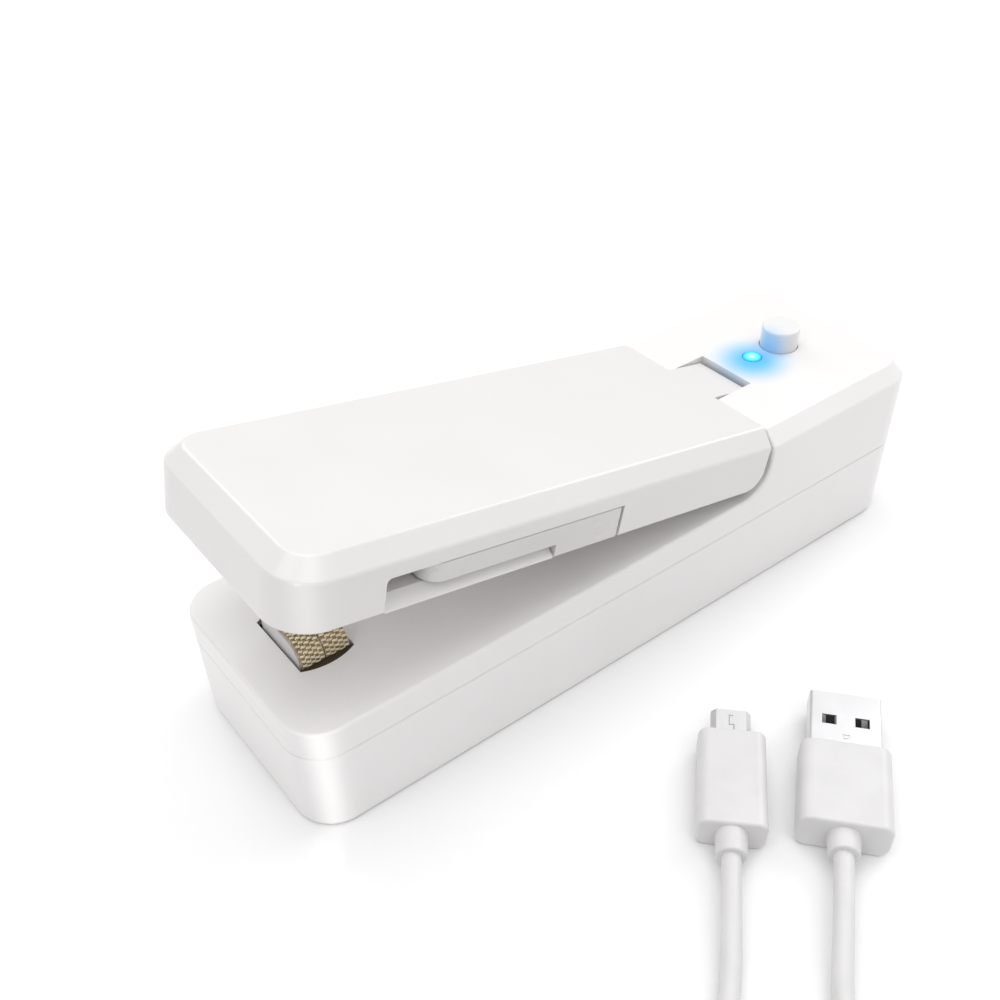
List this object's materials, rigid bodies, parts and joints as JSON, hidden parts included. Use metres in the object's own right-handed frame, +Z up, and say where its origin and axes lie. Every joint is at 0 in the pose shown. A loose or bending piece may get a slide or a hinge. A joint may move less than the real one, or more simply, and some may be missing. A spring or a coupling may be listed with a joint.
{
  "type": "handheld bag heat sealer",
  "caption": "White handheld bag heat sealer: sprung hinged arm over a cloth-covered heater, push button, lit indicator, flip-out side cutter and a loose USB charging lead.",
  "frame": {"origin": "centre of the underside of the base, which stands on the surface; the lead is not counted", "axes": "+X from the jaws to the rear block, -Y the side with the cutter, +Z up; the arm is stored open"},
  "size_m": [0.1541, 0.1555, 0.0552],
  "materials": {
    "white_abs": "glossy moulded",
    "button_abs": "satin moulded",
    "screw_steel": "zinc plated",
    "heater_resin": "matte heat-resistant resin",
    "heating_ribbon": "flat resistance ribbon",
    "glass_cloth": "coarse coated glass cloth",
    "brown_phenolic": "matte",
    "wire_sleeve": "soft sleeve",
    "cell_wrap": "shrink sleeve",
    "nickel": "rolled strip",
    "board_green": "solder mask",
    "black_epoxy": "moulded",
    "socket_steel": "plated sheet",
    "led_emitter": "resin",
    "light_guide": "clear light guide, lit cyan",
    "pin_steel": "ground",
    "spring_steel": "drawn wire",
    "blade_steel": "ground edge",
    "silicone": "matte",
    "plunger_white": "moulded",
    "lead_pvc": "satin soft plastic",
    "tie_plastic": "strap",
    "plug_core": "moulded",
    "contact_gold": "gold plated"
  },
  "bodies": {
    "base": {"base_lower_shell": "white_abs", "base_upper_shell": "white_abs", "base_screws": "screw_steel", "heater_block": "heater_resin", "heating_strips": "heating_ribbon", "heater_cloth": "glass_cloth", "heater_frame": "brown_phenolic", "heater_wires": "wire_sleeve", "battery_cell": "cell_wrap", "battery_tabs": "nickel", "battery_wires": "wire_sleeve", "control_board": "board_green", "board_components": "black_epoxy", "board_screws": "screw_steel", "micro_usb_socket": "socket_steel", "socket_tongue": "black_epoxy", "led_chip": "led_emitter", "led_lens": "light_guide", "button_switch": "black_epoxy", "hinge_pin": "pin_steel", "hinge_spring": "spring_steel", "lead_tube_micro": "lead_pvc", "lead_tube_usb_a": "lead_pvc", "lead_coil": "lead_pvc", "lead_tie": "tie_plastic", "micro_plug_relief": "lead_pvc", "micro_plug_overmould": "lead_pvc", "micro_plug_shell": "socket_steel", "micro_plug_core": "plug_core", "micro_plug_contacts": "contact_gold", "usb_a_relief": "lead_pvc", "usb_a_overmould": "lead_pvc", "usb_a_shell": "socket_steel", "usb_a_tongue": "black_epoxy", "usb_a_contacts": "contact_gold"},
    "button": {"power_button": "button_abs", "switch_plunger": "plunger_white"},
    "arm": {"arm_top_shell": "white_abs", "arm_bottom_plate": "white_abs", "arm_screws": "screw_steel", "press_pad": "silicone", "cutter_pin": "pin_steel"},
    "cutter": {"cutter_lever": "white_abs", "cutter_blade": "blade_steel"}
  },
  "joints": [
    {"name": "arm_hinge", "type": "hinge", "parent": "base", "child": "arm", "pos_m": [0.0317, 0, 0.0301], "axis": [0, -1, 0], "range_deg": [0, 11.7], "stiffness_Nm_per_rad": 0.3, "springref_deg": -11.46, "deforming": ["hinge_spring"]},
    {"name": "button_press", "type": "slide", "parent": "base", "child": "button", "axis": [0, 0, -1], "range_m": [0, 0.001], "stiffness_N_per_m": 400, "springref_m": -0.003},
    {"name": "cutter_swing", "type": "hinge", "parent": "arm", "child": "cutter", "pos_m": [-0.01148, -0.0198, 0.03588], "axis": [0.2028, 0, 0.9792], "range_deg": [0, 90]}
  ]
}
